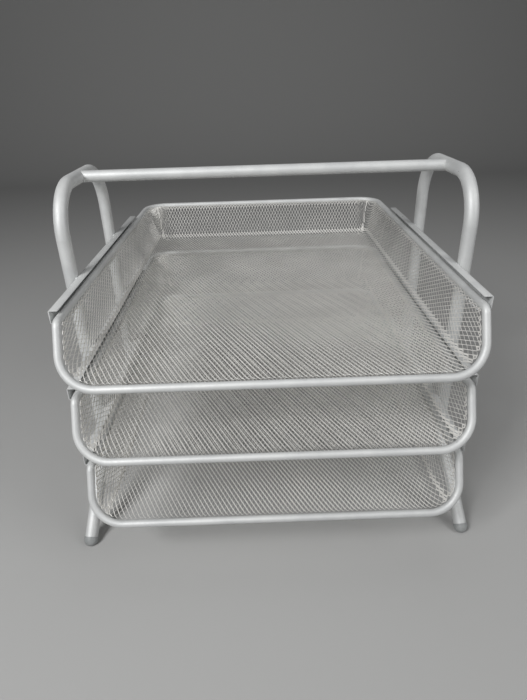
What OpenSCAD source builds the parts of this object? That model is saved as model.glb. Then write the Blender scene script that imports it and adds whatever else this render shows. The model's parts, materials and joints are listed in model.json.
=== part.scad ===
// Three-tier letter tray: two bent tube side frames, a handle bar, six channel rails
// and three sliding wire-rimmed mesh trays. Front is -Y, up is +Z, the desk is Z = 0.

/* [Side frames] */
// Outside diameter of the frame tube
tube_d = 10; // [9:0.5:14]
// Wall of the frame tube
tube_wall = 1; // [0.6:0.1:1.6]
// Overall height of the frame
frame_height = 272.5; // [255:0.5:320]
// Distance from the front leg to the rear leg, axis to axis
leg_spacing = 115; // [90:1:140]
// Bend radius at the shoulders, on the tube axis
shoulder_r = 33; // [20:1:42]
// Bend radius where a leg kicks out to its foot, on the tube axis
knee_r = 25; // [16:1:32]
// Angle of a foot from the vertical
kick_angle = 44; // [30:1:50]
// Sideways turn of a foot from the fore-and-aft direction
splay_angle = 7; // [0:1:14]
// Reach of a foot from its leg axis to its tube end
foot_reach = 56.6; // [40:0.1:62]

/* [Foot caps] */
// How far a foot cap stands out past the tube all round
cap_flare = 0.5; // [0.3:0.1:2.5]
// Length of the collar of a foot cap, from the tube end to its round nose
cap_collar = 2; // [1:0.1:6]
// Length of the stem of a foot cap inside the tube
stem_length = 14; // [8:0.5:20]
// Depth of the flat on the nose where it stands
sole_depth = 1.5; // [0.8:0.1:2.5]

/* [Handle bar] */
// Outside diameter of the handle bar
bar_d = 8.6; // [6.5:0.1:9.5]
// Wall of the handle bar
bar_wall = 1; // [0.6:0.1:1.2]
// Length of the threaded plug in each end of the bar
plug_length = 14; // [8:0.5:25]
// Thread diameter of the bar screws
screw_d = 4; // [3:0.1:4.2]
// Length of a bar screw under its head
screw_length = 14; // [8:0.5:18]
// Head diameter of the bar screws
screw_head_d = 6.4; // [5.4:0.1:6.8]
// Head height of the bar screws
screw_head_h = 3.4; // [2:0.1:3.8]
// Width of the socket in a screw head, across flats
screw_key = 3; // [2:0.1:3]

/* [Rails] */
// Length of a rail
rail_length = 244; // [200:1:290]
// Height of a rail
rail_height = 9.5; // [9:0.1:13]
// Width of the upper flange of a rail, outer face to lip
rail_flange = 6.2; // [4:0.1:8]
// Sheet thickness of a rail
rail_sheet = 0.8; // [0.5:0.1:1.2]
// Height of the upper face of the top rails
top_rail_z = 208; // [202:0.5:215]
// Height from one tier to the next
tier_pitch = 56.5; // [50:0.5:58]

/* [Trays] */
// Width of a tray over its rim wire
tray_width = 268.5; // [230:0.5:330]
// Depth of a tray over its rim wire
tray_depth = 345; // [320:1:400]
// Diameter of the rim wire
rim_wire = 5.4; // [4.4:0.1:6]
// Bend radius of the four large rim corners, on the wire axis
rim_corner_r = 22; // [20:0.5:26]
// Drop from the side wires to the front wire, axis to axis
front_drop = 38; // [35:0.5:42]
// Forward lean of the rim at the front
front_lean = 25; // [10:1:30]
// Bend radius where a side wire turns down at the front, on the wire axis
front_bend_r = 4.5; // [4:0.5:11]
// Sheet thickness of the mesh pan
mesh_sheet = 0.5; // [0.4:0.1:1.2]
// Outward lean of the pan walls
wall_lean = 15; // [5:1:17]
// Outside radius of the fold between floor and walls
fold_r = 9; // [5:0.5:12]

/* [Openwork] */
// Diamond openings side by side across the floor of a pan
floor_cells = 10; // [6:1:12]
// Length of an opening in the floor, as a multiple of its width
cell_stretch = 2; // [1.5:0.1:2.5]
// Diamond openings one after another along a side wall of a pan
wall_cells = 12; // [6:1:12]
// Width of the strands left between the openings
strand_width = 4; // [2:0.5:6]

/* [Clearances] */
// Gap between a side wire and the rail flange under it
slide_gap = 0.3; // [0.2:0.1:0.6]
// Gap between a side wire and the rail web beside it
side_gap = 2.95; // [2:0.05:3.5]
// Gap between a pan wall and the lip of the lower flange beside it
lip_gap = 0.5; // [0.3:0.1:1]
// Gap between the front bend of a rim and the rail ends when the tray is in
stop_gap = 3.3; // [0.3:0.1:4]
// Gap between a pan and the wire that it is welded to
weld_gap = 0.05; // [0.02:0.01:0.1]
// Gap around the stem of a foot cap in its tube, and around a plug in the bar
press_gap = 0.05; // [0.02:0.01:0.1]
// Gap around a screw in its holes
screw_gap = 0.2; // [0.1:0.05:0.3]

/* [Hidden] */
$fn = 48;

SILVER = [0.70, 0.71, 0.71];
MESH_SILVER = [0.62, 0.63, 0.63];
CAP_GREY = [0.35, 0.36, 0.37];
SCREW_STEEL = [0.55, 0.55, 0.56];

LEFT = -1;
RIGHT = 1;
FRONT = -1;
REAR = 1;
TOP = 0;
MIDDLE = TOP + 1;
BOTTOM = MIDDLE + 1;

// Ring left by the bending tool, too low to see or feel
mark_height = 0.02;
mark_width = 0.3;

// Tray rim, seen from the side: the front wire lies below and ahead of the side wires
front_wire_y = -tray_depth / 2 + rim_wire / 2;
rim_turn = 90 - front_lean;
lean_run = (front_drop - front_bend_r * (1 - cos(rim_turn))) / cos(front_lean);
side_front_y = front_wire_y + front_bend_r * sin(rim_turn) + lean_run * sin(front_lean);
corner_x = tray_width / 2 - rim_wire / 2 - rim_corner_r;
corner_y = tray_depth / 2 - rim_wire / 2 - rim_corner_r;
side_run = corner_y - side_front_y;

// Rails carry the side wires, and the legs stand against the rails
rail_outer_x = tray_width / 2 + side_gap + rail_sheet;
rail_front_y = side_front_y + stop_gap;
leg_x = rail_outer_x + tube_d / 2;
frame_y = rail_front_y + rail_length / 2;

// Pan wall section, measured outward from the axis of a corner and up from the floor
fold_steps = 8;
pan_corner_r = rim_corner_r - rim_wire / 2 - weld_gap;
pan_height = front_drop - rim_wire / 2 - weld_gap;
wall_foot_r = pan_corner_r - pan_height * tan(wall_lean);
fold_axis_r = wall_foot_r - fold_r * (1 - sin(wall_lean)) / cos(wall_lean);
wall_run = (pan_height - fold_r * (1 - sin(wall_lean))) / cos(wall_lean);

// Openwork of a pan: staggered diamonds in the floor, and one row of them in each wall
floor_half_x = corner_x + fold_axis_r;
floor_rear_y = corner_y + fold_axis_r;
floor_front_y = front_wire_y + (front_drop - pan_height) * tan(front_lean);
cell_width = 2 * floor_half_x / floor_cells;
cell_length = cell_width * cell_stretch;
cell_rows = floor((floor_rear_y - floor_front_y) / cell_length);
cell_height = cell_width * cell_length / norm([cell_width, cell_length]);
open_share = 1 - strand_width / cell_height;
wall_middle = [
    fold_axis_r + fold_r * cos(wall_lean) + wall_run / 2 * sin(wall_lean),
    fold_r * (1 - sin(wall_lean)) + wall_run / 2 * cos(wall_lean)
];
wall_opening = wall_run - 2 * strand_width;

// The lower flange of a rail reaches as far under its side wire as the leaning pan lets it
wire_above_flange = rim_wire / 2 + slide_gap;
wall_beside_x = corner_x + pan_corner_r - wire_above_flange * tan(wall_lean);
rail_shelf = rail_outer_x - wall_beside_x - lip_gap;

// Side frame, from the top bend down to the end of a foot
tube_bore = tube_d - 2 * tube_wall;
apex_z = frame_height - tube_d / 2;
apex_run = leg_spacing / 2 - shoulder_r;
foot_run = (foot_reach - knee_r * (1 - cos(kick_angle))) / sin(kick_angle);
cap_d = tube_d + 2 * cap_flare;
nose_z = cap_d / 2 - sole_depth;
foot_end_z = nose_z + cap_collar * cos(kick_angle);
stem_d = tube_bore - 2 * press_gap;
knee_z = foot_end_z + foot_run * cos(kick_angle) + knee_r * sin(kick_angle);
leg_run = apex_z - shoulder_r - knee_z;

// Handle bar, between the two frames at the middle of their tops
bar_bore = bar_d - 2 * bar_wall;
plug_d = bar_bore - 2 * press_gap;
saddle_x = sqrt(pow(tube_d / 2, 2) - pow(bar_d / 2, 2));
plug_outer_x = leg_x - tube_d / 2 - press_gap;
head_seat_x = leg_x - sqrt(pow(tube_bore / 2, 2) - pow(screw_head_d / 2, 2)) + press_gap;
screw_hole_d = screw_d + 2 * screw_gap;
access_d = screw_head_d + 2 * screw_gap;
key_depth = screw_head_h / 2;

function rail_top_z(level) = top_rail_z - level * tier_pitch;
function wire_z(level) = rail_top_z(level) - rail_height + rail_sheet + wire_above_flange;
function floor_z(level) = wire_z(level) - pan_height;

// A straight run of round stock along +Z. Children carry on from its end.
module straight(d, run) {
    cylinder(d = d, h = run);
    translate([0, 0, run]) children();
}

// The faint ring that the bending tool leaves at each end of a bend
module bend_mark(d) {
    cylinder(d = d + 2 * mark_height, h = mark_width, center = true);
}

// A bend of round stock that leaves along +Z and turns to +X, after a roll about +Z
module bend(d, r, angle, roll = 0) {
    rotate([0, 0, roll]) {
        bend_mark(d);
        rotate([90, 0, 180])
            translate([-r, 0, 0])
                rotate_extrude(angle = angle)
                    translate([r, 0])
                        circle(d = d);
        translate([r * (1 - cos(angle)), 0, r * sin(angle)])
            rotate([0, angle, 0]) {
                bend_mark(d);
                children();
            }
    }
}

// Half of a left side frame, from the middle of its top to one foot
module half_frame(d) {
    translate([-leg_x, frame_y, apex_z])
        rotate([90, 0, 0])
            rotate([0, 0, -90])
                straight(d, apex_run)
                bend(d, shoulder_r, 90)
                straight(d, leg_run)
                bend(d, knee_r, kick_angle, 180 + splay_angle)
                straight(d, foot_run)
                children();
}

// Turns the left front corner of the frame into any of its four corners
module at_corner(side, end) {
    mirror([side == RIGHT ? 1 : 0, 0, 0])
        translate([0, frame_y, 0])
            mirror([0, end == REAR ? 1 : 0, 0])
                translate([0, -frame_y, 0])
                    children();
}

module frame_path(side, d) {
    for (end = [FRONT, REAR])
        at_corner(side, end) half_frame(d);
}

module side_frame(side) {
    color(SILVER)
        difference() {
            frame_path(side, tube_d);
            frame_path(side, tube_bore);
            translate([side * leg_x, frame_y, apex_z])
                rotate([0, side * 90, 0])
                    cylinder(d = access_d, h = tube_d);
            translate([side * leg_x, frame_y, apex_z])
                rotate([0, -side * 90, 0])
                    cylinder(d = screw_hole_d, h = tube_d);
        }
}

// Places children at the end of a foot, with +Z along the foot and away from the tube
module at_foot_end(side, end) {
    at_corner(side, end)
        translate([-leg_x, frame_y - leg_spacing / 2, foot_end_z])
            rotate([0, 0, -splay_angle])
                translate([0, -foot_reach, 0])
                    rotate([180 - kick_angle, 0, 0])
                        children();
}

// A plug with a round nose, pushed into the end of a foot
module foot_cap(side, end) {
    color(CAP_GREY)
        difference() {
            at_foot_end(side, end) {
                translate([0, 0, -stem_length])
                    cylinder(d = stem_d, h = stem_length + cap_collar);
                cylinder(d = cap_d, h = cap_collar);
                translate([0, 0, cap_collar])
                    intersection() {
                        sphere(d = cap_d);
                        cylinder(d = 2 * cap_d, h = cap_d);
                    }
            }
            translate([-2 * leg_x, -tray_depth, -cap_d])
                cube([4 * leg_x, 2 * tray_depth, cap_d]);
        }
}

// The bar is coped at both ends to sit round the frame tubes
module handle_bar() {
    color(SILVER)
        translate([0, frame_y, apex_z])
            difference() {
                translate([-leg_x + saddle_x, 0, 0])
                    rotate([0, 90, 0])
                        cylinder(d = bar_d, h = 2 * (leg_x - saddle_x));
                translate([-leg_x, 0, 0])
                    rotate([0, 90, 0])
                        cylinder(d = bar_bore, h = 2 * leg_x);
                for (side = [LEFT, RIGHT])
                    translate([side * leg_x, -bar_d, 0])
                        rotate([-90, 0, 0])
                            cylinder(d = tube_d, h = 2 * bar_d);
            }
}

// Places children on the bar axis, with +Z from the named X towards the middle
module on_bar_axis(side, x) {
    translate([side * x, frame_y, apex_z])
        rotate([0, -side * 90, 0])
            children();
}

module bar_plug(side) {
    color(SCREW_STEEL)
        on_bar_axis(side, plug_outer_x)
            difference() {
                cylinder(d = plug_d, h = plug_length);
                cylinder(d = screw_d + 2 * press_gap, h = plug_length);
            }
}

module bar_screw(side) {
    color(SCREW_STEEL)
        on_bar_axis(side, head_seat_x)
            difference() {
                union() {
                    cylinder(d = screw_d, h = screw_length);
                    translate([0, 0, -screw_head_h])
                        cylinder(d = screw_head_d, h = screw_head_h);
                }
                translate([0, 0, -screw_head_h])
                    cylinder(d = screw_key / cos(30), h = key_depth, $fn = 6);
            }
}

// A channel that opens towards the middle, with its wider flange below
module rail(side, level) {
    color(SILVER)
        mirror([side == LEFT ? 1 : 0, 0, 0])
            translate([rail_outer_x, rail_front_y, rail_top_z(level) - rail_height]) {
                translate([-rail_shelf, 0, 0])
                    cube([rail_shelf, rail_length, rail_sheet]);
                translate([-rail_sheet, 0, 0])
                    cube([rail_sheet, rail_length, rail_height]);
                translate([-rail_flange, 0, rail_height - rail_sheet])
                    cube([rail_flange, rail_length, rail_sheet]);
            }
}

// Half of a rim, from the middle of its back wire round to the middle of its front wire
module half_rim(level) {
    translate([0, corner_y + rim_corner_r, wire_z(level)])
        rotate([0, 90, 0])
            rotate([0, 0, -90])
                straight(rim_wire, corner_x)
                bend(rim_wire, rim_corner_r, 90)
                straight(rim_wire, side_run)
                bend(rim_wire, front_bend_r, rim_turn, 90)
                straight(rim_wire, lean_run - rim_corner_r)
                bend(rim_wire, rim_corner_r, 90, -90)
                straight(rim_wire, corner_x);
}

module tray_rim(level) {
    color(SILVER) {
        half_rim(level);
        mirror([1, 0, 0]) half_rim(level);
    }
}

// Points along the fold at radius r, from the floor up to the leaning wall
function fold_arc(r) = [
    for (step = [0:fold_steps])
        let (angle = -90 + (90 - wall_lean) * step / fold_steps)
            [fold_axis_r + r * cos(angle), fold_r + r * sin(angle)]
];

function reversed(list) = [for (i = [len(list) - 1:-1:0]) list[i]];

// Section of a pan wall: a strip of floor, the fold and the leaning wall
module wall_section() {
    outer_fold = fold_arc(fold_r);
    inner_fold = fold_arc(fold_r - mesh_sheet);
    wall_rise = wall_run * [sin(wall_lean), cos(wall_lean)];
    polygon(concat(
        [[0, 0]],
        outer_fold,
        [outer_fold[fold_steps] + wall_rise, inner_fold[fold_steps] + wall_rise],
        reversed(inner_fold),
        [[0, mesh_sheet]]
    ));
}

// One straight side wall and the rounded rear corner that follows it
module half_pan() {
    translate([corner_x, corner_y, 0]) {
        rotate([90, 0, 0])
            linear_extrude(tray_depth)
                wall_section();
        rotate_extrude(angle = 90)
            wall_section();
    }
}

module diamond(width, length) {
    polygon([[width / 2, 0], [0, length / 2], [-width / 2, 0], [0, -length / 2]]);
}

// Two staggered sets of openings through the floor
module floor_openings() {
    for (stagger = [0, 1])
        for (column = [0:floor_cells - 1 - stagger])
            for (row = [0:cell_rows - 1 - stagger])
                translate([
                    (column + (1 + stagger - floor_cells) / 2) * cell_width,
                    (floor_front_y + floor_rear_y) / 2 + (row + (1 + stagger - cell_rows) / 2) * cell_length,
                    -mesh_sheet
                ])
                    linear_extrude(3 * mesh_sheet)
                        diamond(cell_width * open_share, cell_length * open_share);
}

// A row of openings through the wall that stands out from x = start, centred on y = middle
module wall_openings(start, middle, run, cells) {
    pitch = run / cells;
    for (cell = [0:cells - 1])
        translate([start + wall_middle[0], middle + (cell + (1 - cells) / 2) * pitch, wall_middle[1]])
            rotate([0, wall_lean, 0])
                rotate([90, 0, 90])
                    linear_extrude(fold_r, center = true)
                        diamond(pitch - strand_width, wall_opening);
}

module tray_pan(level) {
    color(MESH_SILVER)
        translate([0, 0, floor_z(level)])
            difference() {
                union() {
                    translate([-corner_x, corner_y - tray_depth, 0])
                        cube([2 * corner_x, tray_depth, mesh_sheet]);
                    half_pan();
                    mirror([1, 0, 0]) half_pan();
                    translate([-corner_x, corner_y, 0])
                        rotate([90, 0, 90])
                            linear_extrude(2 * corner_x)
                                wall_section();
                }
                translate([0, front_wire_y, pan_height - front_drop])
                    rotate([-front_lean, 0, 0])
                        translate([-tray_width / 2, -tray_depth, -tray_depth / 2])
                            cube([tray_width, tray_depth, tray_depth]);
                floor_openings();
                for (side = [LEFT, RIGHT])
                    mirror([side == LEFT ? 1 : 0, 0, 0])
                        wall_openings(corner_x, (side_front_y + corner_y) / 2, side_run, wall_cells);
                rotate([0, 0, 90])
                    wall_openings(corner_y, 0, 2 * corner_x, floor_cells);
            }
}

side_frame(LEFT);  // left_side_frame
side_frame(RIGHT);  // right_side_frame
foot_cap(LEFT, FRONT);  // left_front_foot_cap
foot_cap(LEFT, REAR);  // left_rear_foot_cap
foot_cap(RIGHT, FRONT);  // right_front_foot_cap
foot_cap(RIGHT, REAR);  // right_rear_foot_cap
handle_bar();
bar_plug(LEFT);  // left_bar_plug
bar_plug(RIGHT);  // right_bar_plug
bar_screw(LEFT);  // left_bar_screw
bar_screw(RIGHT);  // right_bar_screw
rail(LEFT, TOP);  // left_top_rail
rail(LEFT, MIDDLE);  // left_middle_rail
rail(LEFT, BOTTOM);  // left_bottom_rail
rail(RIGHT, TOP);  // right_top_rail
rail(RIGHT, MIDDLE);  // right_middle_rail
rail(RIGHT, BOTTOM);  // right_bottom_rail
tray_rim(TOP);  // top_tray_rim
tray_rim(MIDDLE);  // middle_tray_rim
tray_rim(BOTTOM);  // bottom_tray_rim
tray_pan(TOP);  // top_tray_pan
tray_pan(MIDDLE);  // middle_tray_pan
tray_pan(BOTTOM);  // bottom_tray_pan
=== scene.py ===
import json
import math

import bmesh
import bpy
from mathutils import Matrix, Vector


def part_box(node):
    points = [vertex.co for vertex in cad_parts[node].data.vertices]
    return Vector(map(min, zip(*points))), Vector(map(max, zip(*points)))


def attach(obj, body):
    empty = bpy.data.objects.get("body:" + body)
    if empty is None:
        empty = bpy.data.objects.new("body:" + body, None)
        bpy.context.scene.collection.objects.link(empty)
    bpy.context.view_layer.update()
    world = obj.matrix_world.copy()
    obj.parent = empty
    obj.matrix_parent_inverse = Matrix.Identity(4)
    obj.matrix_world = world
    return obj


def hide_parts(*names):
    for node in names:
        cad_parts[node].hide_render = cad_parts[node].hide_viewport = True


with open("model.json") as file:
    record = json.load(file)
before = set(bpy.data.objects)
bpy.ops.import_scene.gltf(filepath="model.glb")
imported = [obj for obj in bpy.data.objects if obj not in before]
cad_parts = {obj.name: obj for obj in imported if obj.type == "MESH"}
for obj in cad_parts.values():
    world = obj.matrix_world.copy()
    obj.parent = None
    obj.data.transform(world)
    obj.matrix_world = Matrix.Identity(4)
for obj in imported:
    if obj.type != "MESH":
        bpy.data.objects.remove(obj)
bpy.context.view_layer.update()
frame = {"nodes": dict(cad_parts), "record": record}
scene = bpy.context.scene
scene.view_settings.view_transform = "Standard"
levels = ("top", "middle", "bottom")
sides = (("left", -1), ("right", 1))
print("frame loaded:", len(frame["nodes"]), "nodes")


# Camera, where the photograph was taken from
cameraSetup = {
    "place": (-0.0076, -0.4413, 0.3318),
    "yaw": math.radians(0.365),
    "pitch": math.radians(27.875),
    "roll": math.radians(1.806),
    "focalPixels": 517.5,
    "imageHeight": 700,
    "sensor": 36.0,
    "nearest": 0.01,
}


def makeCamera(setup):
    yaw, pitch, roll = setup["yaw"], setup["pitch"], setup["roll"]
    ahead = Vector((math.sin(yaw) * math.cos(pitch), math.cos(yaw) * math.cos(pitch), -math.sin(pitch)))
    level = Vector((math.cos(yaw), -math.sin(yaw), 0))
    down = ahead.cross(level)
    right = math.cos(roll) * level + math.sin(roll) * down
    below = -math.sin(roll) * level + math.cos(roll) * down
    data = bpy.data.cameras.new("photoCamera")
    data.sensor_width = setup["sensor"]
    data.lens = setup["sensor"] * setup["focalPixels"] / setup["imageHeight"]  # long side is the height
    data.clip_start = setup["nearest"]
    camera = bpy.data.objects.new("photoCamera", data)
    turn = Matrix((right, -below, -ahead)).transposed().to_4x4()
    camera.matrix_world = Matrix.Translation(setup["place"]) @ turn
    scene.collection.objects.link(camera)
    scene.camera = camera


makeCamera(cameraSetup)
print("camera placed")


# Fields in a node tree, so that sums in it read as sums
class Field:
    def __init__(self, tree, socket):
        self.tree = tree
        self.socket = socket

    def __add__(self, other):
        return mathNode(self.tree, "ADD", self, other)

    def __radd__(self, other):
        return mathNode(self.tree, "ADD", other, self)

    def __sub__(self, other):
        return mathNode(self.tree, "SUBTRACT", self, other)

    def __rsub__(self, other):
        return mathNode(self.tree, "SUBTRACT", other, self)

    def __mul__(self, other):
        return mathNode(self.tree, "MULTIPLY", self, other)

    def __rmul__(self, other):
        return mathNode(self.tree, "MULTIPLY", other, self)

    def __truediv__(self, other):
        return mathNode(self.tree, "DIVIDE", self, other)

    def __rtruediv__(self, other):
        return mathNode(self.tree, "DIVIDE", other, self)

    def least(self, other):
        return mathNode(self.tree, "MINIMUM", self, other)

    def most(self, other):
        return mathNode(self.tree, "MAXIMUM", self, other)

    def call(self, operation):
        return mathNode(self.tree, operation, self)

    def over(self, other):
        return mathNode(self.tree, "GREATER_THAN", self, other)


def plug(tree, socket, value):
    if isinstance(value, Field):
        tree.links.new(value.socket, socket)
    elif isinstance(value, bpy.types.NodeSocket):
        tree.links.new(value, socket)
    else:
        socket.default_value = value


def mathNode(tree, operation, *values):
    node = tree.nodes.new("ShaderNodeMath")
    node.operation = operation
    for socket, value in zip(node.inputs, values):
        plug(tree, socket, value)
    return Field(tree, node.outputs[0])


def addNode(tree, kind, settings=None, **inputs):
    node = tree.nodes.new(kind)
    for name, value in (settings or {}).items():
        setattr(node, name, value)
    for name, value in inputs.items():
        plug(tree, node.inputs[name.replace("_", " ")], value)
    return node


def easeBetween(tree, value, start, end, low, high):
    node = tree.nodes.new("ShaderNodeMapRange")
    node.interpolation_type = "SMOOTHSTEP"
    for socket, given in zip(node.inputs, (value, start, end, low, high)):
        plug(tree, socket, given)
    return Field(tree, node.outputs[0])


def placeParts(tree):
    place = tree.nodes.new("GeometryNodeInputPosition")
    parts = addNode(tree, "ShaderNodeSeparateXYZ", Vector=place.outputs[0])
    return [Field(tree, parts.outputs[axis]) for axis in range(3)]


def movedTo(tree, geometry, x, y, z, selection=True):
    point = addNode(tree, "ShaderNodeCombineXYZ", X=x, Y=y, Z=z)
    node = addNode(tree, "GeometryNodeSetPosition", Geometry=geometry, Position=point.outputs[0])
    plug(tree, node.inputs["Selection"], selection)
    return node.outputs[0]


def newTree(name, inputs):
    tree = bpy.data.node_groups.new(name, "GeometryNodeTree")
    tree.interface.new_socket("Geometry", in_out="INPUT", socket_type="NodeSocketGeometry")
    for label, kind in inputs:
        tree.interface.new_socket(label, in_out="INPUT", socket_type=kind)
    tree.interface.new_socket("Geometry", in_out="OUTPUT", socket_type="NodeSocketGeometry")
    return tree, tree.nodes.new("NodeGroupInput"), tree.nodes.new("NodeGroupOutput")


def closeTree(tree, start, end, geometry):
    realized = addNode(tree, "GeometryNodeRealizeInstances", Geometry=geometry)
    finished = addNode(tree, "GeometryNodeSetMaterial", Geometry=realized.outputs[0])
    plug(tree, finished.inputs["Material"], start.outputs["Finish"])
    tree.links.new(finished.outputs[0], end.inputs[0])


def bakeTree(name, tree, values, mesh=None):
    piece = bpy.data.objects.new(name, mesh or bpy.data.meshes.new(name))
    scene.collection.objects.link(piece)
    modifier = piece.modifiers.new(tree.name, "NODES")
    modifier.node_group = tree
    identifiers = {item.name: item.identifier for item in tree.interface.items_tree if item.in_out == "INPUT"}
    for label, value in values.items():
        modifier[identifiers[label]] = value
    graph = bpy.context.evaluated_depsgraph_get()
    baked = bpy.data.meshes.new_from_object(piece.evaluated_get(graph), depsgraph=graph)
    piece.modifiers.clear()
    piece.data = baked
    baked.name = name
    return piece


# Finishes: two colours, range of roughness, scale of the mottling, the grain and the chips
silverPaint = {
    "light": (0.66, 0.67, 0.665), "dark": (0.58, 0.59, 0.59), "metal": 0.38, "rough": (0.56, 0.66),
    "mottle": 38, "grain": 900, "grainHeight": 0.00006, "chips": 210,
}
meshPaint = {
    "light": (0.78, 0.77, 0.74), "dark": (0.66, 0.65, 0.625), "metal": 0.30, "rough": (0.50, 0.60),
    "mottle": 24, "grain": 1400, "grainHeight": 0.00004, "chips": 0,
}
footPlastic = {
    "light": (0.30, 0.31, 0.31), "dark": (0.24, 0.25, 0.25), "metal": 0.0, "rough": (0.45, 0.62),
    "mottle": 160, "grain": 2200, "grainHeight": 0.00010, "chips": 0,
}
screwSteel = {
    "light": (0.55, 0.55, 0.56), "dark": (0.45, 0.45, 0.46), "metal": 1.0, "rough": (0.28, 0.40),
    "mottle": 220, "grain": 2600, "grainHeight": 0.00003, "chips": 0,
}
finishShared = {
    "mottleDetail": 4.0, "mottleRough": 0.6, "darkBelow": 0.36, "lightAbove": 0.62,
    "grainDetail": 3.0, "grainRough": 0.55, "grainRange": (0.3, 0.7), "grainStrength": 0.35,
    "chipSpread": 0.35, "spreadDetail": 2.0, "chipsFrom": 0.60, "chipsFull": 0.74,
    "chipSize": 0.16, "chipTone": (0.16, 0.16, 0.16),
}


def chipPaint(tree, place, colour, scale, shared):
    spots = addNode(tree, "ShaderNodeTexVoronoi", Vector=place, Scale=scale)
    spread = addNode(
        tree, "ShaderNodeTexNoise", Vector=place,
        Scale=scale * shared["chipSpread"], Detail=shared["spreadDetail"],
    )
    amount = Field(tree, spread.outputs[0])
    size = easeBetween(tree, amount, shared["chipsFrom"], shared["chipsFull"], 0.0, shared["chipSize"])
    chipped = mathNode(tree, "LESS_THAN", Field(tree, spots.outputs["Distance"]), size)
    mix = addNode(tree, "ShaderNodeMix", {"data_type": "RGBA"})
    plug(tree, mix.inputs[0], chipped)
    tree.links.new(colour, mix.inputs[6])
    mix.inputs[7].default_value = (*shared["chipTone"], 1)
    return mix.outputs[2]


def makeFinish(name, look, shared):
    material = bpy.data.materials.new(name)
    material.use_nodes = True
    tree = material.node_tree
    shader = tree.nodes["Principled BSDF"]
    place = tree.nodes.new("ShaderNodeTexCoord").outputs["Object"]
    mottle, grain = [
        addNode(
            tree, "ShaderNodeTexNoise", Vector=place, Scale=look[kind],
            Detail=shared[kind + "Detail"], Roughness=shared[kind + "Rough"],
        )
        for kind in ("mottle", "grain")
    ]
    tone = tree.nodes.new("ShaderNodeValToRGB")
    for stop, at, shade in zip(tone.color_ramp.elements, ("darkBelow", "lightAbove"), ("dark", "light")):
        stop.position = shared[at]
        stop.color = (*look[shade], 1)
    tree.links.new(mottle.outputs[0], tone.inputs[0])
    colour = tone.outputs[0]
    if look["chips"]:
        colour = chipPaint(tree, place, colour, look["chips"], shared)
    tree.links.new(colour, shader.inputs["Base Color"])
    shader.inputs["Metallic"].default_value = look["metal"]
    rough = easeBetween(tree, Field(tree, grain.outputs[0]), *shared["grainRange"], *look["rough"])
    plug(tree, shader.inputs["Roughness"], rough)
    bump = addNode(
        tree, "ShaderNodeBump",
        Strength=shared["grainStrength"], Distance=look["grainHeight"], Height=grain.outputs[0],
    )
    tree.links.new(bump.outputs[0], shader.inputs["Normal"])
    return material


tubeFinish = makeFinish("satinSilverPaint", silverPaint, finishShared)
meshFinish = makeFinish("meshSilverPaint", meshPaint, finishShared)
footFinish = makeFinish("greyFootPlastic", footPlastic, finishShared)
screwFinish = makeFinish("platedScrewSteel", screwSteel, finishShared)
slotFinish = {
    "silver_paint": tubeFinish,
    "mesh_paint": meshFinish,
    "foot_plastic": footFinish,
    "screw_steel": screwFinish,
}
for part in frame["record"]["subparts"]:
    node = frame["nodes"][part["node"]]
    node.data.materials.clear()
    node.data.materials.append(slotFinish[part["material_slot"]])


# Expanded metal trays: one pressed sheet of diamonds each, in metres; the shares scale the openings
trayMesh = {
    "cellWidth": 0.0033,
    "cellLength": 0.0066,
    "holeShare": 0.865,
    "mostShare": 0.94,
    "twist": 0.22,
    "sheet": 0.00026,
    "joinWithin": 0.000002,
    "crimpWidth": 0.0042,
    "crimpShare": 0.48,
    "crimpRise": 0.009,
    "hemShare": 0.60,
    "creaseAt": 0.01173,
    "creaseHalf": 0.0016,
    "creaseShare": 0.76,
    "creaseSqueeze": 0.50,
    "rearCreaseAt": 0.0089,
    "rearCreaseHalf": 0.0013,
    "rearCreaseShare": 0.70,
    "rearCreaseSqueeze": 1.0,
    "creaseFull": 0.8,  # in half widths of the crease, as are the next four
    "creaseFade": 1.1,
    "ridgeFade": 1.2,
    "besideFull": 0.3,
    "besideFade": 0.6,
    "creaseHeight": 0.0005,
    "besideAt": 0.00925,
    "besideShare": 1.12,
    "cornerPull": 0.003,
    "pullStart": 0.1,
    "pullEnd": 0.80,
    "cornerTurn": math.radians(50),
    "cornerHalf": 0.0018,
    "cornerShare": 0.40,
    "wave": 0.0009,
    "waveSpan": 0.085,
    "waveDetail": 1.0,
    "flare": 0.030,
}
trayLattice = {
    "rows": 171,
    "inset": 0.00060,  # middle of the sheet, inside the outer face of the pan
    "phase": {"top": (0.0, 0.0), "middle": (0.0, 0.0017), "bottom": (0.0, 0.0006)},
    "tiny": 1e-6,  # stands in for no distance in a division
}
trayShape = {
    "width": 0.2685,
    "depth": 0.345,
    "wire": 0.0054,
    "corner": 0.022,
    "drop": 0.038,
    "lean": math.radians(25),
    "wallLean": math.radians(15),
    "fold": 0.009,
    "weldGap": 0.00005,
    "loopGap": 0.0007,  # between the front wire and the middle of the sheet
}


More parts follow.
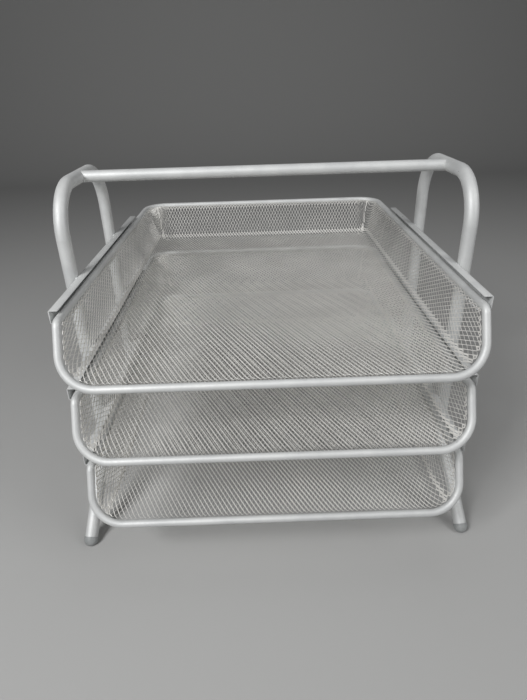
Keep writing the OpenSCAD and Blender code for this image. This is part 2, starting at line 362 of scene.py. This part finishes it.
def panSizes(shape, inset):
    wireR = shape["wire"] / 2
    topR = shape["corner"] - wireR - shape["weldGap"]
    height = shape["drop"] - wireR - shape["weldGap"]
    wallLean, lean = shape["wallLean"], shape["lean"]
    footR = topR - height * math.tan(wallLean)
    foldRise = shape["fold"] * (1 - math.sin(wallLean))
    foldStart = footR - foldRise / math.cos(wallLean)
    cornerX = shape["width"] / 2 - wireR - shape["corner"]
    cornerY = shape["depth"] / 2 - wireR - shape["corner"]
    axisY = -shape["depth"] / 2 + wireR
    below = shape["drop"] - height + inset  # front wire axis under the middle of the floor sheet
    loopR = shape["corner"] - wireR - shape["loopGap"]
    loopSide = (height - inset + below) / math.cos(lean) - shape["corner"]
    return {
        "Corner X": cornerX,
        "Corner Y": cornerY,
        "Fold Start": foldStart,
        "Fold Radius": shape["fold"] - inset,
        "Fold Angle": math.pi / 2 - wallLean,
        "Wall Run": (height - foldRise) / math.cos(wallLean),
        "Front Y": axisY + below * math.tan(lean),
        "Front Lean": lean,
        "Loop Radius": loopR,
        "Loop Corner": shape["corner"],
        "Loop Side": loopSide,
        "Loop Below": below,
        "Pan Height": height - inset,
    }


def inputLabel(name):  # cellWidth becomes Cell Width
    spaced = "".join(" " + letter if letter.isupper() else letter for letter in name)
    return spaced[0].upper() + spaced[1:]


panValues = panSizes(trayShape, trayLattice["inset"])
panValues.update({inputLabel(name): value for name, value in trayMesh.items()})
panInputs = [*panValues, "Floor Z", "Wave Seed", "Phase X", "Phase Y", "Keep Side"]


def panTree():
    tree, start, end = newTree(
        "expandedPan",
        [(label, "NodeSocketFloat") for label in panInputs]
        + [("Rows", "NodeSocketInt"), ("Finish", "NodeSocketMaterial")],
    )
    size = {label: Field(tree, start.outputs[label]) for label in panInputs}
    cornerX, cornerY = size["Corner X"], size["Corner Y"]
    foldR, foldAngle = size["Fold Radius"], size["Fold Angle"]
    total = size["Fold Start"] + foldR * foldAngle + size["Wall Run"]
    leanTan = size["Front Lean"].call("TANGENT")
    tiny = trayLattice["tiny"]

    def reachParts():
        x, y, h = placeParts(tree)
        side = x.call("SIGN")
        dx = (x.call("ABSOLUTE") - cornerX).most(0.0)
        dy = (y - cornerY).most(0.0)
        reach = (dx * dx + dy * dy).call("SQRT")
        return x, y, h, side, dx, dy, reach

    def panCurve(reach):  # out from the corner axis and up from the floor, and the turn so far
        along = reach.least(total) - size["Fold Start"]
        turn = (along / foldR).most(0.0).least(foldAngle)
        rise = (along - foldR * foldAngle).most(0.0)
        bent = size["Fold Start"] + along.least(0.0) + foldR * turn.call("SINE")
        out = bent + rise * foldAngle.call("COSINE")
        up = foldR * (1.0 - turn.call("COSINE")) + rise * foldAngle.call("SINE")
        return out, up, turn

    def behindFront(y, up):
        return y - (size["Front Y"] + up * leanTan)

    def creaseSize(label, dx, reach):  # goes over from the side folds to the rear fold
        rear = size["Rear " + label]
        return rear + (size[label] - rear) * (dx / reach.most(tiny))

    def fromCrease(dx, reach):
        return (reach - creaseSize("Crease At", dx, reach)).call("ABSOLUTE")

    # flat lattice of diamonds, long way front to back
    rows = start.outputs["Rows"]
    span = mathNode(tree, "SUBTRACT", rows, 1.0)
    grid = addNode(tree, "GeometryNodeMeshGrid", Vertices_X=rows, Vertices_Y=rows, Size_X=span, Size_Y=span)
    i, j, flat = placeParts(tree)
    middleY = (size["Front Y"] + cornerY + total) * 0.5
    lattice = movedTo(
        tree, grid.outputs["Mesh"],
        (i - j) * size["Cell Width"] * 0.5 + size["Phase X"],
        (i + j) * size["Cell Length"] * 0.5 + middleY + size["Phase Y"],
        flat,
    )

    # keep the cells whose middles lie on the sheet, and floor or walls
    x, y, h, side, dx, dy, reach = reachParts()
    out, up, turn = panCurve(reach)
    spare = (total - reach).least(behindFront(y, up))
    beyond = mathNode(tree, "LESS_THAN", spare, 0.0)
    otherPart = ((reach - size["Fold Start"]) * size["Keep Side"]).over(0.0)
    trimmed = addNode(tree, "GeometryNodeDeleteGeometry", {"domain": "FACE"}, Geometry=lattice)
    plug(tree, trimmed.inputs["Selection"], beyond.most(otherPart))

    # draw the outermost corners in to the edge of the sheet
    x, y, h, side, dx, dy, reach = reachParts()
    keep = (total / reach.most(tiny)).least(1.0)
    edgeX = side * (x.call("ABSOLUTE").least(cornerX) + dx * keep)
    edgeY = y.least(cornerY) + dy * keep
    out, up, turn = panCurve(reach)
    edged = movedTo(tree, trimmed.outputs[0], edgeX, edgeY.most(size["Front Y"] + up * leanTan), h)

    # open each cell, closing up towards the rim and along the crease
    centre = tree.nodes.new("GeometryNodeCaptureAttribute")
    centre.domain = "FACE"
    centre.capture_items.new("FLOAT", "middleX")
    tree.links.new(edged, centre.inputs["Geometry"])
    plug(tree, centre.inputs[1], placeParts(tree)[0])
    opened = addNode(tree, "GeometryNodeExtrudeMesh", {"mode": "FACES"}, Mesh=centre.outputs["Geometry"])
    opened.inputs["Offset Scale"].default_value = 0.0
    opened.inputs["Individual"].default_value = True
    x, y, h, side, dx, dy, reach = reachParts()
    out, up, turn = panCurve(reach)
    crimpWidth, crimpRise = size["Crimp Width"], size["Crimp Rise"]
    crimp = easeBetween(tree, behindFront(y, up), crimpWidth * 0.5, crimpWidth, size["Crimp Share"], 1.0)
    floorOnly = easeBetween(tree, up, crimpRise * 0.5, crimpRise, 1.0, 0.0)
    crimp = crimp.most(floorOnly)  # the front edge of the floor stays open
    hem = easeBetween(tree, total - reach, 0.0, crimpWidth, size["Hem Share"], 1.0)
    offCrease, half = fromCrease(dx, reach), creaseSize("Crease Half", dx, reach)
    creaseBand = half * size["Crease Full"], half * size["Crease Fade"]
    crease = easeBetween(tree, offCrease, *creaseBand, creaseSize("Crease Share", dx, reach), 1.0)
    offBeside = (dx - size["Beside At"]).call("ABSOLUTE")  # a row of larger openings at the foot of each side
    besideBand = half * size["Beside Full"], half * size["Beside Fade"]
    beside = easeBetween(tree, offBeside, *besideBand, size["Beside Share"], 1.0)
    cornerTurn = mathNode(tree, "ARCTAN2", dy, dx)
    inCorner = (dx * dy).over(0.0)
    offCorner = (cornerTurn - size["Corner Turn"]).call("ABSOLUTE") * reach + (1.0 - inCorner)
    cornerHalf = size["Corner Half"]
    corner = easeBetween(tree, offCorner, cornerHalf * 0.5, cornerHalf, size["Corner Share"], 1.0)
    share = size["Hole Share"] * crimp * hem * crease * beside * corner
    shrunk = addNode(tree, "GeometryNodeScaleElements", {"domain": "FACE"}, Geometry=opened.outputs["Mesh"])
    plug(tree, shrunk.inputs["Selection"], opened.outputs["Top"])
    plug(tree, shrunk.inputs["Scale"], share.least(size["Most Share"]))

    # flatten the cells of the crease along one way of the strands
    across = addNode(tree, "ShaderNodeCombineXYZ", X=size["Cell Length"], Y=size["Cell Width"])
    unit = addNode(tree, "ShaderNodeVectorMath", {"operation": "NORMALIZE"}, Vector=across.outputs[0])
    squeeze = easeBetween(tree, offCrease, *creaseBand, creaseSize("Crease Squeeze", dx, reach), 1.0)
    oneWay = {"domain": "FACE", "scale_mode": "SINGLE_AXIS"}
    flattened = addNode(tree, "GeometryNodeScaleElements", oneWay, Geometry=shrunk.outputs[0], Scale=squeeze)
    plug(tree, flattened.inputs["Selection"], opened.outputs["Top"])
    plug(tree, flattened.inputs["Axis"], unit.outputs[0])

    # turn the strands, as the stretching leaves them
    x, y = placeParts(tree)[:2]
    tilt = (Field(tree, centre.outputs[1]) - x) * size["Twist"]
    turned = movedTo(tree, flattened.outputs[0], x, y, tilt, opened.outputs["Top"])
    strands = addNode(tree, "GeometryNodeDeleteGeometry", {"domain": "FACE"}, Geometry=turned)
    plug(tree, strands.inputs["Selection"], opened.outputs["Top"])

    # thickness, closed all round
    upward = addNode(tree, "ShaderNodeCombineXYZ", Z=1.0)
    thick = addNode(tree, "GeometryNodeExtrudeMesh", {"mode": "FACES"}, Mesh=strands.outputs[0])
    plug(tree, thick.inputs["Offset"], upward.outputs[0])
    plug(tree, thick.inputs["Offset Scale"], size["Sheet"])
    thick.inputs["Individual"].default_value = False
    under = addNode(tree, "GeometryNodeFlipFaces", Mesh=strands.outputs[0])
    both = tree.nodes.new("GeometryNodeJoinGeometry")
    tree.links.new(under.outputs[0], both.inputs[0])
    tree.links.new(thick.outputs["Mesh"], both.inputs[0])
    closed = addNode(tree, "GeometryNodeMergeByDistance", Geometry=both.outputs[0])
    plug(tree, closed.inputs["Distance"], size["Join Within"])

    # press the flat sheet into the pan, flaring to the rim loop at the front
    x, y, h, side, dx, dy, reach = reachParts()
    out, up, turn = panCurve(reach)
    ridgeEnd = creaseSize("Crease Half", dx, reach) * size["Ridge Fade"]
    ridge = easeBetween(tree, fromCrease(dx, reach), 0.0, ridgeEnd, size["Crease Height"], 0.0)
    h = h - size["Sheet"] * 0.5 + ridge
    flare = easeBetween(tree, behindFront(y, up), 0.0, size["Flare"], 1.0, 0.0)
    loopR, quarter = size["Loop Radius"], math.pi / 2
    loopRun = reach.least(total) / total * (loopR * quarter + size["Loop Side"])
    loopTurn = (loopRun / loopR).least(quarter)
    loopRise = (loopRun - loopR * quarter).most(0.0)
    loopOut = loopR * loopTurn.call("SINE")
    leanCos = size["Front Lean"].call("COSINE")
    loopHeight = size["Loop Corner"] - loopR * loopTurn.call("COSINE") + loopRise
    loopUp = loopHeight * leanCos - size["Loop Below"]
    lift = (loopUp - up) * flare
    slope = turn + (loopTurn - turn) * flare
    far = reach.most(tiny)
    raised = up / size["Pan Height"]
    tightening = easeBetween(tree, raised, size["Pull Start"], size["Pull End"], 0.0, 1.0)
    release = easeBetween(tree, raised, size["Pull End"], 1.0, 1.0, 0.0)
    midCorner = dx * dy / (far * far) * 2.0  # one half way round a corner, nothing along the straight walls
    pull = midCorner * size["Corner Pull"] * tightening * release  # rear corners are drawn in tight
    radius = out + (loopOut - out) * flare - h * slope.call("SINE") - pull
    spot = tree.nodes.new("GeometryNodeInputPosition").outputs[0]
    waves = addNode(tree, "ShaderNodeTexNoise", {"noise_dimensions": "4D"}, Vector=spot, W=size["Wave Seed"])
    plug(tree, waves.inputs["Scale"], 1.0 / size["Wave Span"])
    plug(tree, waves.inputs["Detail"], size["Wave Detail"])
    slack = (cornerX - x.call("ABSOLUTE")).least(cornerY - y).least(behindFront(y, up))
    loose = easeBetween(tree, slack, 0.0, size["Wave Span"] * 0.5, 0.0, 1.0)
    swing = (Field(tree, waves.outputs[0]) - 0.5) * 2.0
    sway = swing * size["Wave"] * loose  # handling leaves the floor uneven
    pressed = movedTo(
        tree, closed.outputs[0],
        side * (x.call("ABSOLUTE").least(cornerX) + dx / far * radius),
        y.least(cornerY) + dy / far * radius + lift * leanTan,
        size["Floor Z"] + up + lift + h * slope.call("COSINE") + sway,
    )
    closeTree(tree, start, end, pressed)
    return tree


expandedPan = panTree()
for level in levels:
    body = level + "_tray"
    pan = level + "_tray_pan"
    phaseX, phaseY = trayLattice["phase"][level]
    values = dict(panValues)
    values.update({
        "Floor Z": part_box(pan)[0].z + trayLattice["inset"],
        "Wave Seed": float(levels.index(level)),
        "Phase X": phaseX,
        "Phase Y": phaseY,
        "Rows": trayLattice["rows"],
        "Finish": meshFinish,
    })
    for part, keepSide in (("floor", 1.0), ("walls", -1.0)):
        values["Keep Side"] = keepSide
        piece = bakeTree(f"{level}_tray_mesh_{part}", expandedPan, values)
        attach(piece, body)
        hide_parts(pan)
        print(piece.name, "faces", len(piece.data.polygons))


# Rails: channels folded from strip, with rounded bends and lips
railShape = {
    "sheet": 0.0008, "bend": 0.0009, "flange": 0.0062, "endSoft": 0.00022, "endShare": 0.62, "steps": 5,
    "sharp": math.radians(50),
}


def railLine(shelf, height, shape):  # middle of the strip, from the lower lip round to the upper lip
    half, bend = shape["sheet"] / 2, shape["bend"]
    line = [(-shelf + half, half)]
    for middle, first in (((-half - bend, half + bend), -90), ((-half - bend, height - half - bend), 0)):
        for step in range(shape["steps"] + 1):
            angle = math.radians(first + 90 * step / shape["steps"])
            line.append((middle[0] + bend * math.cos(angle), middle[1] + bend * math.sin(angle)))
    line.append((-shape["flange"] + half, height - half))
    return [Vector(point) for point in line]


def makeRail(node, sign, shape):
    low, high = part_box(node)
    outer = high.x if sign > 0 else -low.x
    line = railLine(high.x - low.x, high.z - low.z, shape)
    count = len(line)
    headings = [(line[min(k + 1, count - 1)] - line[max(k - 1, 0)]).normalized() for k in range(count)]
    mesh = bmesh.new()
    soft, endShare = shape["endSoft"], shape["endShare"]
    rings = []
    for y, share in ((low.y, endShare), (low.y + soft, 1), (high.y - soft, 1), (high.y, endShare)):
        half = shape["sheet"] / 2 * share
        outline = [point + Vector((heading.y, -heading.x)) * half for point, heading in zip(line, headings)]
        outline.append(line[-1] + headings[-1] * half)
        outline += [
            point - Vector((heading.y, -heading.x)) * half
            for point, heading in zip(reversed(line), reversed(headings))
        ]
        outline.append(line[0] - headings[0] * half)
        rings.append([mesh.verts.new((sign * (outer + x), y, low.z + z)) for x, z in outline])
    size = len(rings[0])
    for near, far in zip(rings, rings[1:]):
        for k in range(size):
            mesh.faces.new((near[k], near[(k + 1) % size], far[(k + 1) % size], far[k]))
    for ring in (rings[0], rings[-1]):
        for k in range(count - 1):
            mesh.faces.new((ring[k], ring[k + 1], ring[2 * count - 1 - k], ring[2 * count - k]))
        mesh.faces.new((ring[count - 1], ring[count], ring[count + 1]))
        mesh.faces.new((ring[0], ring[2 * count], ring[2 * count + 1]))
    bmesh.ops.recalc_face_normals(mesh, faces=mesh.faces)
    data = bpy.data.meshes.new(node + "_strip")
    mesh.to_mesh(data)
    mesh.free()
    data.shade_smooth()
    data.set_sharp_from_angle(angle=shape["sharp"])
    data.materials.append(tubeFinish)
    piece = bpy.data.objects.new(node + "_strip", data)
    scene.collection.objects.link(piece)
    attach(piece, "frame")
    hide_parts(node)


for sideName, sign in sides:
    for level in levels:
        makeRail(f"{sideName}_{level}_rail", sign, railShape)
print("rails folded")


# Welds in the corners between the legs and the rails
railWelds = {
    "legSpacing": 0.115, "beside": 0.0027, "out": 0.00065,
    "rise": (-0.0024, 0.0, 0.0024), "size": (0.0009, 0.0011, 0.0017),
    "rounds": 2, "seed": 4, "spread": (0.85, 1.12),
}


def weldTree(setup):
    inputs = [("Bead Size", "NodeSocketVector"), ("Finish", "NodeSocketMaterial")]
    tree, start, end = newTree("weldBeads", inputs)
    drop = addNode(tree, "GeometryNodeMeshIcoSphere", Radius=1.0, Subdivisions=setup["rounds"])
    vary = addNode(tree, "FunctionNodeRandomValue", {"data_type": "FLOAT"}, Seed=setup["seed"])
    vary.inputs[2].default_value, vary.inputs[3].default_value = setup["spread"]
    scale = addNode(tree, "ShaderNodeVectorMath", {"operation": "SCALE"})
    tree.links.new(start.outputs["Bead Size"], scale.inputs[0])
    tree.links.new(vary.outputs[1], scale.inputs["Scale"])
    bead = drop.outputs["Mesh"]
    beads = addNode(tree, "GeometryNodeInstanceOnPoints", Points=start.outputs[0], Instance=bead)
    tree.links.new(scale.outputs[0], beads.inputs["Scale"])
    smooth = addNode(tree, "GeometryNodeSetShadeSmooth", Geometry=beads.outputs[0])
    closeTree(tree, start, end, smooth.outputs[0])
    return tree


def weldPoints(setup):
    points = []
    for sideName, sign in sides:
        low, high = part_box(f"{sideName}_side_frame")
        frontLeg, rearLeg = ((low.y + high.y + way * setup["legSpacing"]) / 2 for way in (-1, 1))
        for level in levels:
            low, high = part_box(f"{sideName}_{level}_rail")
            outer = high.x if sign > 0 else -low.x
            middle = (low.z + high.z) / 2
            for legY in (frontLeg, rearLeg):
                for beside in (-setup["beside"], setup["beside"]):
                    for rise in setup["rise"]:
                        points.append((sign * (outer + setup["out"]), legY + beside, middle + rise))
    mesh = bpy.data.meshes.new("weldPoints")
    mesh.from_pydata(points, [], [])
    return mesh


weldValues = {"Bead Size": railWelds["size"], "Finish": tubeFinish}
welds = bakeTree("rail_welds", weldTree(railWelds), weldValues, weldPoints(railWelds))
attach(welds, "frame")
print("rail_welds faces", len(welds.data.polygons))


# Floor, backdrop and light
studio = {
    "half": 2.2, "back": 1.5, "sweep": 0.6, "height": 1.8, "steps": 14,
    "tone": (0.40, 0.40, 0.395), "rough": 0.9, "skyTone": (0.95, 0.97, 1.0), "sky": 0.05,
}
lampAim = (0, 0, 0.15)
lamps = {
    "keySoftbox": {"place": (-0.70, -0.95, 1.00), "size": (0.45, 0.45), "power": 17},
    "ceilingSoftbox": {"place": (0.15, 0.10, 1.6), "size": (0.8, 0.8), "power": 2.5},
    "rightFill": {"place": (0.9, -0.7, 0.9), "size": (0.6, 0.9), "power": 6},
}


def makeBackdrop(setup):
    steps = setup["steps"]
    line = [(-setup["half"], 0.0), (setup["back"], 0.0)]
    for step in range(1, steps + 1):
        angle = math.pi / 2 * step / steps
        line.append((
            setup["back"] + setup["sweep"] * math.sin(angle),
            setup["sweep"] * (1 - math.cos(angle)),
        ))
    line.append((setup["back"] + setup["sweep"], setup["height"]))
    shape = bmesh.new()
    ends = [[shape.verts.new((x, y, z)) for y, z in line] for x in (-setup["half"], setup["half"])]
    for index in range(len(line) - 1):
        shape.faces.new((ends[0][index], ends[1][index], ends[1][index + 1], ends[0][index + 1]))
    mesh = bpy.data.meshes.new("studioFloor")
    shape.to_mesh(mesh)
    shape.free()
    mesh.shade_smooth()
    floor = bpy.data.objects.new("studioFloor", mesh)
    scene.collection.objects.link(floor)
    material = bpy.data.materials.new("paleStudio")
    material.use_nodes = True
    shader = material.node_tree.nodes["Principled BSDF"]
    shader.inputs["Base Color"].default_value = (*setup["tone"], 1)
    shader.inputs["Roughness"].default_value = setup["rough"]
    mesh.materials.append(material)


def makeSky(setup):
    world = bpy.data.worlds.new("studioLight")
    world.use_nodes = True
    background = world.node_tree.nodes["Background"]
    background.inputs["Color"].default_value = (*setup["skyTone"], 1)
    background.inputs["Strength"].default_value = setup["sky"]
    scene.world = world


def makeLamp(name, setup, aim):
    data = bpy.data.lights.new(name, "AREA")
    data.shape = "RECTANGLE"
    data.size, data.size_y = setup["size"]
    data.energy = setup["power"]
    lamp = bpy.data.objects.new(name, data)
    lamp.location = setup["place"]
    lamp.rotation_euler = (Vector(aim) - Vector(setup["place"])).to_track_quat("-Z", "Y").to_euler()
    scene.collection.objects.link(lamp)


makeBackdrop(studio)
makeSky(studio)
for lampName, lampSetup in lamps.items():
    makeLamp(lampName, lampSetup, lampAim)
print("studio lit")
